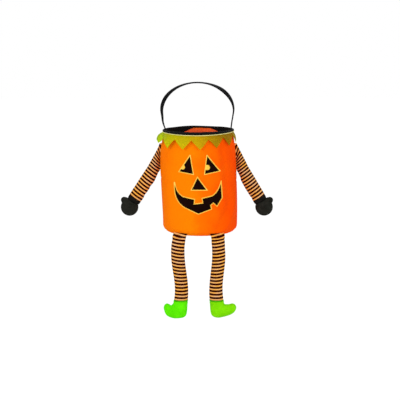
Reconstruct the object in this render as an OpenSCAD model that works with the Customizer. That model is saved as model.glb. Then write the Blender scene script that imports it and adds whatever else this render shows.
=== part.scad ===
// Pumpkin treat bag: a round felt bag with a strap handle, a zigzag collar,
// a felt lantern face, and stuffed striped arms and legs sewn into its seams.
// Millimetres, +Z up, the face looks towards -Y, the origin is the middle of the base.

/* [Bag] */
// Height from the base to the top of the rim binding
bag_h = 255; // [230:1:300]
// Outer radius of the wall at the rim
rim_r = 86; // [76:0.5:92]
// Outer radius of the wall at its widest
belly_r = 94.5; // [93:0.5:108]
// Height of the widest part
belly_z = 145; // [110:1:165]
// Outer radius where the wall turns into the base
foot_r = 93; // [84:0.5:94]
// Radius of the round corner between wall and base
corner_r = 19; // [14:0.5:26]
// Thickness of the wall and base felt
felt_t = 1.8; // [1:0.1:3]
// Width of the seam allowances turned inside the bag
allowance = 8; // [5:0.5:10]
// Thickness of the stiffening board on the base
board_t = 2; // [1:0.1:4]
// Gap left round the edge of the stiffening board
board_margin = 2; // [1:0.5:10]

/* [Rim] */
// Height of the binding tape on each side of the rim
binding_h = 8.5; // [6:0.5:14]
// Thickness of the binding tape
binding_t = 1; // [0.5:0.1:2]
// Diameter of the spring hoop inside the binding
hoop_d = 3; // [1.5:0.1:5]
// Diameter of the piping under the binding
piping_d = 1.4; // [0.8:0.1:2.5]

/* [Collar] */
// Number of points round the collar
collar_points = 14; // [8:1:20]
// Depth of a collar point below the rim
collar_drop = 43; // [36:1:60]
// Depth of a collar notch below the rim
collar_notch = 20; // [16:1:28]
// How far the points stand out from the rim
collar_flare = 14; // [12:0.5:24]
// Turn of the collar, which puts a notch over each arm
collar_turn = 2.8; // [0:0.1:6]
// Thickness of the collar felt
collar_t = 1.2; // [0.8:0.1:2]

/* [Handle] */
// Height of the strap loop above the rim
loop_h = 115; // [90:1:160]
// Half the width of the strap loop at its widest
loop_hw = 90.5; // [86:0.5:100]
// Height of the widest part of the loop above the rim
loop_wide_z = 51; // [40:1:60]
// Width of the strap
strap_w = 20; // [12:1:26]
// Thickness of the strap
strap_t = 1.6; // [1:0.1:2.5]
// Length of strap sewn inside the bag
strap_sewn = 26; // [15:1:40]

/* [Face] */
// Height of the tip of the nose
face_z = 145; // [130:1:160]
// Width of the mouth, to which the other patches keep their shares
mouth_w = 112.5; // [90:0.5:125]
// Width of the yellow border round each face patch
border_w = 2.4; // [1:0.1:4]
// How far a border's pointed tip reaches past an eye or the nose
border_tip = 5; // [4:0.5:8]
// How far the border's pointed tip reaches past each corner of the mouth
mouth_tip = 9; // [4:0.5:12]
// Thickness of each layer of face felt
patch_t = 0.9; // [0.5:0.1:1.5]

/* [Arms] */
// Depth of the middle of the shoulder seam below the rim
shoulder_drop = 75; // [70:1:95]
// Length of the shoulder seam
shoulder_len = 70; // [56:1:76]
// Angle of the arm from the vertical
arm_angle = 31; // [25:1:40]
// Length of the sleeve
sleeve_len = 115; // [90:1:150]
// Width of a sleeve
sleeve_w = 33.5; // [26:0.5:38]
// Depth of a sleeve from front to back
sleeve_d = 25; // [18:0.5:32]
// Swing of the arm to each side that the shoulder leaves room for
arm_swing = 43; // [30:1:50]
// Length of the cuff
cuff_len = 11; // [6:0.5:18]
// Radius of the palm
palm_r = 21.5; // [19:0.5:28]
// Radius of the thumb
thumb_r = 8; // [6:0.5:10]
// Depth of the hand from front to back
hand_d = 26; // [20:0.5:32]

/* [Legs] */
// Angle of each leg round the base from the front
leg_angle = 31; // [24:0.5:45]
// Length of a leg from its seam to the boot
leg_len = 164; // [120:1:220]
// Width of a leg
leg_w = 34; // [26:0.5:38]
// Depth of a leg from front to back
leg_d = 25; // [18:0.5:32]
// Width of the flattened top of a leg
leg_top_w = 39; // [30:0.5:46]
// Sideways bow of a leg
leg_bow = 4; // [0:0.5:8]
// Length over which the bow repeats
leg_wave = 188; // [140:1:260]
// Height of the hem at the top of a boot
hem_h = 2.5; // [1.5:0.5:5]
// Height of a boot below its hem
boot_h = 44; // [38:0.5:50]
// How far the right toe reaches out from the middle of the ankle
right_toe = 47.5; // [42:0.5:60]
// How far the left toe reaches out from the middle of the ankle
left_toe = 42; // [40:0.5:60]
// Depth of the dip between the right instep and the curl of its toe
right_dip = 1.5; // [0:0.5:6]
// Depth of the dip between the left instep and the curl of its toe
left_dip = 4.5; // [0:0.5:6]
// Depth of a boot from front to back
boot_d = 31; // [27:0.5:38]

/* [Seams] */
// Thickness of a sleeve or leg end caught in a seam
tab_t = 1.6; // [1:0.1:2]
// How far that end stands out of the seam
tab_proud = 0.5; // [0.2:0.1:1]
// Half the thickness of the pinched top of a limb
pinch = 0.5; // [0.3:0.1:0.8]
// Clearance between a limb and the end caught in the seam
seam_gap = 0.7; // [0.5:0.1:1]
// Gap between plies that are sewn together
ply_gap = 0.1; // [0.05:0.05:0.3]
// Clearance between the strap loop and its sewn ends
loop_gap = 0.4; // [0.3:0.1:1]

/* [Hidden] */

orange = "darkorange";
lime = "limegreen";
leaf = "yellowgreen";
yellow = "gold";
black = [0.1, 0.1, 0.1];
stripe = "sandybrown";

$fn = 96;
LEFT = -1;
RIGHT = 1;

// Rim: the binding folds over the hoop, the wall and the collar
fold_mid = rim_r + (collar_t - felt_t + ply_gap) / 2;
fold_r = max(hoop_d / 2 + ply_gap, (felt_t + collar_t + 3 * ply_gap) / 2);
hoop_z = bag_h - binding_t - fold_r;
wall_top = hoop_z - hoop_d / 2 - ply_gap;
binding_z = bag_h - binding_h;
binding_in = fold_mid - fold_r - binding_t;
collar_in = rim_r + ply_gap;
collar_out = collar_in + collar_t;
band_h = 3;
band_z = binding_z - band_h;

// Wall: its outer radius at a height, swelling to the belly by a cubic rule
function wall_r(z) =
    z >= band_z ? rim_r :
    z >= belly_z ? rim_r + (belly_r - rim_r) * (1 - pow((z - belly_z) / (band_z - belly_z), 3)) :
    foot_r + (belly_r - foot_r) * (1 - pow((belly_z - z) / (belly_z - corner_r), 3));

wall_steps = 9;
wall_heights = concat(
    [for (i = [0 : wall_steps]) corner_r + (belly_z - corner_r) * i / wall_steps],
    [for (i = [1 : wall_steps]) belly_z + (band_z - belly_z) * i / wall_steps],
    [wall_top]
);
function reversed(list) = [for (i = [len(list) - 1 : -1 : 0]) list[i]];

// Base corner: the seam lies half way round it, and the allowances turn inwards there
seam_a = -45;
corner_step = 7.5;
along = [cos(seam_a), sin(seam_a)];
across = [-sin(seam_a), cos(seam_a)];
corner_mid = [foot_r - corner_r, corner_r];
inner_corner_r = corner_r - felt_t;
flange_r = inner_corner_r - allowance;
function corner_pt(r, a) = corner_mid + r * [cos(a), sin(a)];
function seam_pt(r, side) = corner_mid + r * along + side * across;
bend_a = asin(felt_t / inner_corner_r);

// Side seams: the panels' allowances run from the base seam to under the strap ends
side_clear = 2.5;
side_low = corner_r + side_clear;
side_high = binding_z - strap_sewn - side_clear;

// Shoulders and hips
shoulder_z = bag_h - shoulder_drop;
shoulder_x = max([for (i = [-1 : 0.1 : 1]) wall_r(shoulder_z + i * shoulder_len / 2)])
    + tab_proud + seam_gap;
hip = seam_pt(corner_r + tab_proud + seam_gap, 0);
hip_r = hip[0];
hip_z = hip[1];
limb_sides = 20;

// Sleeve: the axis leans out from the shoulder, and w is square to it in the frontal plane
axis_u = [sin(arm_angle), 0, -cos(arm_angle)];
axis_w = [cos(arm_angle), 0, sin(arm_angle)];
shoulder = [shoulder_x, 0, shoulder_z];
root_spare = 4;
root_len = sleeve_w / 2 / tan(arm_angle) + root_spare;

// Handle: the loop turns about a line just above the rim, and folds flat without touching it
fold_clear = 3;
pivot_z = bag_h + strap_w / 2 + fold_clear;
end_out = sqrt(pow(binding_in, 2) - pow(strap_w / 2, 2)) - ply_gap;
loop_x = end_out + loop_gap + strap_t / 2;
loop_low = pivot_z - strap_w / 2;
loop_mid_z = bag_h + loop_wide_z;
loop_up = loop_h - loop_wide_z - strap_t / 2;

// Shapes that several pieces share

// A closed skin of triangles through rings that have equally many points
module loft(rings) {
    n = len(rings[0]);
    last = (len(rings) - 1) * n;
    polyhedron(
        points = [for (ring = rings) each ring],
        faces = concat(
            [for (k = [0 : len(rings) - 2], i = [0 : n - 1]) each [
                [k * n + i, (k + 1) * n + i, k * n + (i + 1) % n],
                [(k + 1) * n + i, (k + 1) * n + (i + 1) % n, k * n + (i + 1) % n]
            ]],
            [for (i = [1 : n - 2]) [0, i, i + 1]],
            [for (i = [1 : n - 2]) [last, last + i + 1, last + i]]
        )
    );
}

// A ring round centre c, with half axes a along u and b along v
function ellipse_ring(c, u, a, v, b) =
    [for (i = [0 : limb_sides - 1]) let (t = 360 * i / limb_sides) c + u * a * cos(t) + v * b * sin(t)];

// A stuffed shape: an outline in the frontal plane that swells to half depth b, open flat at a height
module pillow(outline, b, top) {
    tilts = [-80, -55, -28, 0, 28, 55, 80];
    size = 4 * top;
    difference() {
        loft([for (t = tilts) [for (p = outline) [p[0] * cos(t), b * sin(t), p[1] * cos(t)]]]);
        translate([-size / 2, -size / 2, top]) cube(size);
    }
}

// A smooth closed curve through a few points
function closed_curve(p, steps) = let (n = len(p)) [
    for (i = [0 : n - 1], k = [0 : steps - 1])
        let (t = k / steps, a = p[(i + n - 1) % n], b = p[i], c = p[(i + 1) % n], d = p[(i + 2) % n])
        0.5 * (2 * b + t * (c - a) + t * t * (2 * a - 5 * b + 4 * c - d)
            + t * t * t * (3 * b - a - 3 * c + d))
];

// A curve from a to c, drawn towards b, without its last point
function bend(a, b, c, steps = 6) = [
    for (i = [0 : steps - 1]) let (t = i / steps)
        (1 - t) * (1 - t) * a + 2 * t * (1 - t) * b + t * t * c
];

// The limb's mirror image for the left side
module on_side(side) {
    mirror([side == LEFT ? 1 : 0, 0, 0]) children();
}

// Bag

// Wall felt in section, from the base seam to the rim, with its allowance turned in
wall_section = concat(
    [for (a = [seam_a : corner_step : -corner_step]) corner_pt(corner_r, a)],
    [for (z = wall_heights) [wall_r(z), z]],
    [for (z = reversed(wall_heights)) [wall_r(z) - felt_t, z]],
    [for (a = [-corner_step : -corner_step : seam_a + bend_a + 1]) corner_pt(inner_corner_r, a)],
    [corner_pt(inner_corner_r, seam_a + bend_a)],
    [seam_pt(flange_r, felt_t), seam_pt(flange_r, 0)]
);

// The allowance along one side seam
module side_allowance() {
    heights = [for (i = [0 : wall_steps]) side_low + (side_high - side_low) * i / wall_steps];
    sunk = felt_t / 2;
    rotate([90, 0, 0]) linear_extrude(felt_t) polygon(concat(
        [for (z = heights) [wall_r(z) - sunk, z]],
        [for (z = reversed(heights)) [wall_r(z) - felt_t - allowance, z]]
    ));
}

// The end of a sleeve that lies in the side seam, grown on all sides
module sleeve_end_shape(grow) {
    heights = [for (i = [-1 : 0.25 : 1]) shoulder_z + i * (shoulder_len / 2 + grow)];
    rotate([90, 0, 0]) linear_extrude(tab_t + 2 * grow, center = true) polygon(concat(
        [for (z = heights) [shoulder_x - seam_gap + grow, z]],
        [for (z = reversed(heights)) [wall_r(z) - felt_t - allowance - grow, z]]
    ));
}

// The end of a leg that lies in the base seam, grown on all sides
module leg_end_shape(grow) {
    half_a = asin((leg_top_w / 2 + grow) / hip_r);
    low = flange_r - grow;
    high = corner_r + tab_proud + grow;
    half_t = tab_t / 2 + grow;
    rotate([0, 0, -90 + leg_angle - half_a]) rotate_extrude(angle = 2 * half_a) polygon([
        seam_pt(low, -half_t), seam_pt(high, -half_t), seam_pt(high, half_t), seam_pt(low, half_t)
    ]);
}

module half_wall() {
    difference() {
        union() {
            rotate([0, 0, 180]) rotate_extrude(angle = 180) polygon(wall_section);
            side_allowance();
            mirror([1, 0, 0]) side_allowance();
        }
        for (side = [LEFT, RIGHT]) on_side(side) sleeve_end_shape(ply_gap);
    }
}

module front_panel() {
    color(orange) difference() {
        half_wall();
        for (side = [LEFT, RIGHT]) on_side(side) leg_end_shape(ply_gap);
    }
}

module back_panel() {
    color(orange) mirror([0, 1, 0]) half_wall();
}

module base_panel() {
    color(orange) difference() {
        rotate_extrude() polygon(concat(
            [[0, 0]],
            [for (a = [-90 : corner_step : seam_a - corner_step]) corner_pt(corner_r, a)],
            [seam_pt(corner_r, -ply_gap), seam_pt(flange_r, -ply_gap), seam_pt(flange_r, -felt_t)],
            [for (a = [seam_a - bend_a : -corner_step : -90 + corner_step / 2])
                corner_pt(inner_corner_r, a)],
            [corner_pt(inner_corner_r, -90), [0, felt_t]]
        ));
        for (side = [LEFT, RIGHT]) on_side(side) leg_end_shape(ply_gap);
    }
}

module base_board() {
    color("burlywood") translate([0, 0, felt_t])
        cylinder(r = foot_r - corner_r - board_margin, h = board_t);
}

// Rim

module rim_binding() {
    fold_step = 15;
    function fold(r) = [for (a = [0 : fold_step : 180]) [fold_mid + r * cos(a), hoop_z + r * sin(a)]];
    outer_r = fold_r + binding_t;
    color(black) rotate_extrude() polygon(concat(
        [[fold_mid + outer_r, binding_z]], fold(outer_r), [[fold_mid - outer_r, binding_z]],
        [[fold_mid - fold_r, binding_z]], reversed(fold(fold_r)), [[fold_mid + fold_r, binding_z]]
    ));
}

module rim_hoop() {
    color("silver") rotate_extrude() translate([fold_mid, hoop_z]) circle(d = hoop_d);
}

// The collar stands out from the rim at once and then hangs down, cut into points by wedges
module collar() {
    pitch = 360 / collar_points;
    blunt = 0.93;
    tip_z = bag_h - collar_drop;
    rim_slope = 3 * (belly_r - rim_r) / (band_z - belly_z);
    tip_r = collar_in + max(collar_flare, rim_slope * (band_z - tip_z));
    notch_z = bag_h - collar_notch;
    low_z = tip_z - 1;
    low_hw = blunt * tip_r * sin(pitch / 2) * (notch_z - low_z) / (notch_z - tip_z);
    skirt_steps = 3;
    skirt = [for (i = [0 : skirt_steps]) let (t = i / skirt_steps)
        [collar_in + (tip_r - collar_in) * (1 - pow(1 - t, 2)), band_z + (tip_z - band_z) * t]];
    color(leaf) difference() {
        rotate_extrude() polygon(concat(
            [[collar_in, wall_top]], skirt,
            [for (p = reversed(skirt)) p + [collar_t, 0]], [[collar_out, wall_top]]
        ));
        for (i = [0 : collar_points - 1])
            rotate([0, 0, collar_turn + (i + 0.5) * pitch]) rotate([90, 0, 0])
                linear_extrude(2 * tip_r)
                    polygon([[0, notch_z], [-low_hw, low_z], [low_hw, low_z]]);
    }
}

module collar_piping() {
    color("khaki") rotate_extrude()
        translate([collar_out + ply_gap + piping_d / 2, binding_z - ply_gap - piping_d / 2])
            circle(d = piping_d);
}

// Handle

// Half of the loop's centre line, from its low end to the top, offset outwards by off
bulge_steps = 8;
arch_step = 7.5;
function loop_line(off) = concat(
    [[loop_x + off, loop_low], [loop_x + off, pivot_z]],
    [for (i = [1 : bulge_steps]) let (t = i / bulge_steps, s = t * t * (3 - 2 * t))
        [loop_x + (loop_hw - loop_x) * s + off, pivot_z + (loop_mid_z - pivot_z) * t]],
    [for (a = [arch_step : arch_step : 90])
        [(loop_hw + off) * cos(a), loop_mid_z + (loop_up + off) * sin(a)]]
);
function left_of(line) = [for (i = [len(line) - 2 : -1 : 0]) [-line[i][0], line[i][1]]];

// A strap end rounded about the pivot line, below or above it
module round_about_pivot(toward, reach) {
    translate([0, 0, pivot_z]) rotate([0, 90, 0]) cylinder(d = strap_w, h = 4 * loop_hw, center = true);
    translate([-2 * loop_hw, -strap_w / 2, pivot_z + (toward < 0 ? -reach : 0)])
        cube([4 * loop_hw, strap_w, reach]);
}

module handle_strap() {
    outer = loop_line(strap_t / 2);
    inner = loop_line(-strap_t / 2);
    color(black) intersection() {
        rotate([90, 0, 0]) linear_extrude(strap_w, center = true)
            polygon(concat(outer, left_of(outer), reversed(concat(inner, left_of(inner)))));
        round_about_pivot(1, loop_h);
    }
}

// The strap's sewn end passes inside the binding and then lies against the wall
module strap_end() {
    settle = 8;
    steps = 6;
    function against_wall(z) = sqrt(pow(wall_r(z) - felt_t, 2) - pow(strap_w / 2, 2)) - 2 * ply_gap;
    function end_x(z) = end_out
        + max(0, against_wall(z) - end_out) * min(1, (binding_z - z) / settle);
    heights = [for (i = [0 : steps]) binding_z - strap_sewn * (1 - i / steps)];
    top = pivot_z + strap_w / 2;
    color(black) intersection() {
        rotate([90, 0, 0]) linear_extrude(strap_w, center = true) polygon(concat(
            [for (z = heights) [end_x(z), z]],
            [[end_out, top], [end_out - strap_t, top]],
            [for (z = reversed(heights)) [end_x(z) - strap_t, z]]
        ));
        round_about_pivot(-1, 2 * bag_h);
    }
}

module left_strap_end() { on_side(LEFT) strap_end(); }
module right_strap_end() { on_side(RIGHT) strap_end(); }

// Face: felt patches on felt borders, drawn as they look from the front

// The outlines and the pupils, from the tip of the nose, drawn for a mouth of the drawn width
drawn_w = 112.5;
share = mouth_w / drawn_w;
left_eye_line = share * [[-20, 52], [-44.5, 15], [-13, 10.5]];
left_pupil = share * [-37, 26.5];
left_pupil_r = share * 6;
right_eye_line = share * [[21.5, 52], [16.5, 10.5], [50, 17]];
right_pupil = share * [23, 26];
right_pupil_r = share * 6;
nose_line = share * [[0, 0], [-15, -28], [16.5, -28]];
mouth_line = share * concat(
    bend([-55.5, -19.5], [-52.5, -38], [-38, -47]),
    [[-38, -47], [-10, -52.5], [-11.5, -64.5], [12.5, -61.5], [10.5, -50]],
    bend([33, -47], [48, -41], [54.5, -15]),
    [[54.5, -15], [56.5, -49], [45, -67.5], [37, -60], [28.5, -65.5], [30.5, -75], [0.5, -85]],
    bend([-24, -74.5], [-57, -63.5], [-55.5, -19.5])
);

// A layer of felt that lies on the wall under an outline
module on_wall(inner) {
    front_reach = 2 * belly_r;
    intersection() {
        translate([0, 0, face_z]) rotate([90, 0, 0]) linear_extrude(front_reach) children();
        rotate_extrude() polygon(concat(
            [for (z = wall_heights) [wall_r(z) + inner, z]],
            [for (z = reversed(wall_heights)) [wall_r(z) + inner + patch_t, z]]
        ));
    }
}

// A border follows its patch, and its pointed tips end a little past the patch's corners
module border(outline, tip) {
    color(yellow) on_wall(ply_gap) intersection() {
        offset(delta = border_w) polygon(outline);
        offset(r = tip) polygon(outline);
    }
}
module patch(outline) { color(black) on_wall(patch_t + 2 * ply_gap) polygon(outline); }

// An eye is cut away round its pupil, where the yellow border shows
module eye(outline, pupil, pupil_r) {
    color(black) on_wall(patch_t + 2 * ply_gap) difference() {
        polygon(outline);
        translate(pupil) circle(pupil_r);
    }
}

module left_eye_border() { border(left_eye_line, border_tip); }
module right_eye_border() { border(right_eye_line, border_tip); }
module nose_border() { border(nose_line, border_tip); }
module mouth_border() { border(mouth_line, mouth_tip); }
module left_eye() { eye(left_eye_line, left_pupil, left_pupil_r); }
module right_eye() { eye(right_eye_line, right_pupil, right_pupil_r); }
module nose() { patch(nose_line); }
module mouth() { patch(mouth_line); }

// Arms

// A point of the sleeve kept inside the wedge that the swing leaves free
function kept(p) = let (room = pinch + max(0, p[0] - shoulder_x) / tan(arm_swing))
    [p[0], max(-room, min(room, p[1])), p[2]];

// The ring across the sleeve at a length from the shoulder
function sleeve_ring(s, swell = 0) =
    ellipse_ring(shoulder + s * axis_u, axis_w, sleeve_w / 2 + swell, [0, 1, 0], sleeve_d / 2 + swell);

module sleeve() {
    root = ellipse_ring(shoulder, [0, 0, 1], shoulder_len / 2, [0, 1, 0], pinch);
    square_ring = sleeve_ring(root_len);
    fans = [0, 0.12, 0.3, 0.55, 0.8];
    runs = 6;
    swell = 0.6;
    color(stripe) loft(concat(
        [for (f = fans) [for (i = [0 : limb_sides - 1]) let (
            a = root[i], b = square_ring[i],
            fat = sin(90 * f)
        ) kept([a[0] + (b[0] - a[0]) * f, a[1] + (b[1] - a[1]) * fat, a[2] + (b[2] - a[2]) * f])]],
        [for (i = [0 : runs]) let (t = i / runs) [for (p = sleeve_ring(
            root_len + (sleeve_len - root_len) * t, swell * sin(180 * t))) kept(p)]]
    ));
}

module cuff() {
    color(black) loft([for (c = [[0, 0], [0.2, 0.7], [0.7, 0.5], [1, -0.6]])
        sleeve_ring(sleeve_len + c[0] * cuff_len, c[1])]);
}

// The hand is drawn with the arm's axis pointing down, then leaned out with the arm. Its outline is the
// farthest of the palm, the thumb and the root that joins the thumb to the cuff
module hand() {
    palm_at = 16.5;
    thumb = [palm_r - 1, 7.5];
    thumb_root = [palm_r - 6.5, 13.5];
    root_r = thumb_r - 3;
    function far_side(c, r, a) = let (turn = a - atan2(c[1], c[0]), k = r * r - pow(norm(c) * sin(turn), 2))
        k < 0 || cos(turn) < 0 ? 0 : norm(c) * cos(turn) + sqrt(k);
    outline = [for (i = [0 : 44]) let (a = 8 * i)
        max(palm_r, far_side(thumb, thumb_r, a), far_side(thumb_root, root_r, a)) * [cos(a), sin(a)]];
    color([0.13, 0.13, 0.12])
        translate(shoulder + (sleeve_len + cuff_len + palm_at) * axis_u) rotate([0, -arm_angle, 0])
            pillow(outline, hand_d / 2, palm_at);
}

module sleeve_end() { color(stripe) sleeve_end_shape(0); }

module left_sleeve_end() { on_side(LEFT) sleeve_end(); }
module right_sleeve_end() { on_side(RIGHT) sleeve_end(); }
module left_sleeve() { on_side(LEFT) sleeve(); }
module right_sleeve() { on_side(RIGHT) sleeve(); }
module left_cuff() { on_side(LEFT) cuff(); }
module right_cuff() { on_side(RIGHT) cuff(); }
module left_hand() { on_side(LEFT) hand(); }
module right_hand() { on_side(RIGHT) hand(); }

// Legs

hip_at = [hip_r * sin(leg_angle), -hip_r * cos(leg_angle), hip_z];
function leg_mid(s) = hip_at + [leg_bow * sin(360 * s / leg_wave), 0, -s];

// The leg's flat top follows the seam, and lower down the leg rounds out and turns to face the front
turn_len = 40;
round_len = 15;
function leg_ring(s, swell = 0) = let (
    turn = leg_angle * (1 - min(1, s / turn_len)),
    half_w = leg_top_w / 2 + (leg_w - leg_top_w) / 2 * min(1, s / round_len),
    half_d = min(leg_d / 2, pinch + s)
) ellipse_ring(leg_mid(s), [cos(turn), sin(turn), 0], half_w + swell,
    [-sin(turn), cos(turn), 0], half_d + swell);

module leg() {
    tops = [0, 3, 7, 12, 20];
    runs = 9;
    below = tops[len(tops) - 1];
    color(stripe) loft(concat(
        [for (s = tops) leg_ring(s)],
        [for (i = [1 : runs]) leg_ring(below + (leg_len - below) * i / runs)]
    ));
}

module boot_hem() {
    swell = 0.5;
    color("green") loft([for (h = [0, 0.5, 1]) let (top = leg_ring(leg_len, swell + swell * sin(180 * h)))
        [for (p = top) p - [0, 0, h * hem_h]]]);
}

// A boot's outline in the frontal plane, from the middle of its ankle: down the heel, along the sole,
// round the curled toe and back over the instep, and up past the hem on both sides
ankle_hw = leg_w / 2;
past_hem = 12;
function boot_line(reach, rise, dip) = [
    [-ankle_hw, past_hem], [0.5 - ankle_hw, -8], [2.5 - ankle_hw, 12 - boot_h],
    [8.5 - ankle_hw, 3 - boot_h], [5, -boot_h], [reach - 22, rise - boot_h],
    [reach - 6.5, rise + 7.5 - boot_h],
    [reach, 24 - boot_h], [reach - 2, 33 - boot_h], [reach - 8, 36.5 - boot_h],
    [reach - 17, 36.5 - dip - boot_h], [ankle_hw + 5, 34.5 - boot_h], [ankle_hw + 1.5, 39.5 - boot_h],
    [ankle_hw, past_hem]
];
boot_mid = [10, 17 - boot_h];
right_rise = 5;
left_rise = 0.5;

module boot(reach, rise, dip) {
    outline = [for (p = closed_curve(boot_line(reach, rise, dip), 3)) p - boot_mid];
    ankle = leg_mid(leg_len) - [0, 0, hem_h];
    color(lime) translate(ankle + [boot_mid[0], 0, boot_mid[1]])
        pillow(outline, boot_d / 2, -boot_mid[1]);
}

module leg_end() { color(stripe) leg_end_shape(0); }

module left_leg_end() { on_side(LEFT) leg_end(); }
module right_leg_end() { on_side(RIGHT) leg_end(); }
module left_leg() { on_side(LEFT) leg(); }
module right_leg() { on_side(RIGHT) leg(); }
module left_boot_hem() { on_side(LEFT) boot_hem(); }
module right_boot_hem() { on_side(RIGHT) boot_hem(); }
module left_boot() { on_side(LEFT) boot(left_toe, left_rise, left_dip); }
module right_boot() { on_side(RIGHT) boot(right_toe, right_rise, right_dip); }

front_panel();
back_panel();
base_panel();
base_board();
rim_binding();
rim_hoop();
collar();
collar_piping();
handle_strap();
left_strap_end();
right_strap_end();
left_eye_border();
right_eye_border();
nose_border();
mouth_border();
left_eye();
right_eye();
nose();
mouth();
left_sleeve_end();
right_sleeve_end();
left_leg_end();
right_leg_end();
left_sleeve();
right_sleeve();
left_cuff();
right_cuff();
left_hand();
right_hand();
left_leg();
right_leg();
left_boot_hem();
right_boot_hem();
left_boot();
right_boot();
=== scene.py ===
import math

import bmesh
import bpy
from mathutils import Matrix, Vector, noise


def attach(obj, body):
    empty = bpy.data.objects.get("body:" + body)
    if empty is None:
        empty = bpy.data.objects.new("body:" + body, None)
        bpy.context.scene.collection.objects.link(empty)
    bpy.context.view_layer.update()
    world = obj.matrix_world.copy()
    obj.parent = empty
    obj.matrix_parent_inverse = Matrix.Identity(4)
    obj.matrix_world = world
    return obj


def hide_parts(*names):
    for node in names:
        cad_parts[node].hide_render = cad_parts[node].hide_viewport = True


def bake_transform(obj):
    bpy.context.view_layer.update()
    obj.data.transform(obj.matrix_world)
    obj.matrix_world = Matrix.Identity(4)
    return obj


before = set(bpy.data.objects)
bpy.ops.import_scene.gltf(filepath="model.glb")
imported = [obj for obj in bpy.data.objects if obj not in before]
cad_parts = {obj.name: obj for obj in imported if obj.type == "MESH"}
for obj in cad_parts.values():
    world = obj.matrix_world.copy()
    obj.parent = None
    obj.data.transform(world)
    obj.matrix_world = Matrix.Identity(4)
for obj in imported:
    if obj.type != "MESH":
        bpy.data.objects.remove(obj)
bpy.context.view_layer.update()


# Studio: the bag hangs by its strap well above a plain pale floor, before a white sky. Floor and sky
# look white to the camera and light the bag like pale grey paper. Three large soft lamps stand around it.
def linear(code):
    """A colour written as sRGB hex, in linear values."""
    parts = [int(code[i:i + 2], 16) / 255 for i in (1, 3, 5)]
    return [p / 12.92 if p <= 0.04045 else ((p + 0.055) / 1.055) ** 2.4 for p in parts] + [1]


def put(tree, node, inputs):
    """Values or links into the inputs of a shader node."""
    for name, value in dict(inputs).items():
        if isinstance(value, bpy.types.NodeSocket):
            tree.links.new(value, node.inputs[name])
        else:
            node.inputs[name].default_value = value


def add(tree, kind, inputs=(), **settings):
    """One shader node, with its settings and with values or links in its inputs."""
    node = tree.nodes.new("ShaderNode" + kind)
    for name, value in settings.items():
        setattr(node, name, value)
    put(tree, node, inputs)
    return node


def reckon(tree, operation, *values):
    """The result of one step of arithmetic on values or links."""
    return add(tree, "Math", enumerate(values), operation=operation).outputs[0]


def ramp(tree, factor, *stops):
    """The colour at a factor, between stops of a place from 0 to 1 and a colour, in hex or linear values."""
    made = add(tree, "ValToRGB", {"Fac": factor})
    stops = [(spot, linear(tint) if isinstance(tint, str) else tint) for spot, tint in stops]
    elements = made.color_ramp.elements
    for element, (spot, tint) in zip(elements, (stops[0], stops[-1])):
        element.position = spot
        element.color = tint
    for spot, tint in stops[1:-1]:
        elements.new(spot).color = tint
    return made.outputs["Color"]


camera = bpy.data.objects.new("camera", bpy.data.cameras.new("camera"))
camera.data.sensor_width = 36
camera.data.lens = 93.6
aim = Vector((0.00425, 0, 0.077))
away = 2.6
tilt = math.radians(9)
camera.location = aim + away * Vector((0, -math.cos(tilt), math.sin(tilt)))
camera.rotation_euler = (math.pi / 2 - tilt, 0, 0)
bpy.context.scene.collection.objects.link(camera)
bpy.context.scene.camera = camera
bpy.context.scene.view_settings.view_transform = "Standard"

sky = bpy.data.worlds.new("white_sky")
bpy.context.scene.world = sky
paper = bpy.data.materials.new("white_paper")
seen = {}
for backdrop in (sky, paper):
    backdrop.use_nodes = True
    tree = backdrop.node_tree
    tree.nodes.clear()
    path = add(tree, "LightPath").outputs
    direct = reckon(tree, "MAXIMUM", path["Is Camera Ray"], path["Is Glossy Ray"])
    seen[backdrop.name] = reckon(tree, "MAXIMUM", direct, path["Is Transmission Ray"])

tree = sky.node_tree
shade = add(tree, "Background", {"Color": linear("#FFFFFF"), "Strength": 0.72})
white = add(tree, "Background", {"Color": linear("#FFFFFF"), "Strength": 1})
mixed = add(tree, "MixShader", {0: seen["white_sky"], 1: shade.outputs[0], 2: white.outputs[0]})
add(tree, "OutputWorld", {"Surface": mixed.outputs[0]})

tree = paper.node_tree
share = reckon(tree, "MULTIPLY", seen["white_paper"], 0.88)
matt = add(tree, "BsdfDiffuse", {"Color": linear("#E8E8E8")})
glow = add(tree, "Emission", {"Color": linear("#FFFFFF"), "Strength": 1.09})
mixed = add(tree, "MixShader", {0: share, 1: matt.outputs[0], 2: glow.outputs[0]})
add(tree, "OutputMaterial", {"Surface": mixed.outputs[0]})


def piece(name, bm, material):
    """An object from a bmesh, smooth shaded, with its place in its mesh."""
    mesh = bpy.data.meshes.new(name)
    bm.to_mesh(mesh)
    bm.free()
    mesh.shade_smooth()
    mesh.materials.append(material)
    made = bpy.data.objects.new(name, mesh)
    bpy.context.scene.collection.objects.link(made)
    return made


floor_height = Matrix.Translation((0, 0, -0.52))
bm = bmesh.new()
bmesh.ops.create_grid(bm, x_segments=2, y_segments=2, size=14, matrix=floor_height)
piece("floor", bm, paper)

lamp_size = 1.3
lamp_aim = Vector((0, 0, 0.1))
for name, place, power in (
    ("key_lamp", (-1.7, -2.0, 1.3), 23),
    ("front_lamp", (1.5, -2.2, 0.7), 18),
    ("back_lamp", (0.3, 2.1, 1.5), 15),
):
    lamp = bpy.data.objects.new(name, bpy.data.lights.new(name, "AREA"))
    lamp.data.size = lamp_size
    lamp.data.energy = power
    lamp.location = place
    lamp.rotation_euler = (lamp_aim - lamp.location).to_track_quat("-Z", "Y").to_euler()
    bpy.context.scene.collection.objects.link(lamp)


# Wall: two halves of needled orange felt, joined by a plain seam down each side and kept round by the rim
# hoop and the base. The edges are turned inside, so a seam shows as a soft groove, and the slack felt hangs
# in a few shallow folds, most of them slanting.
rim_radius = 0.086
neck_height = 0.2435
belly_height = 0.145
corner_centre = 0.074
corner_round = 0.019
felt_thickness = 0.0018


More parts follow.
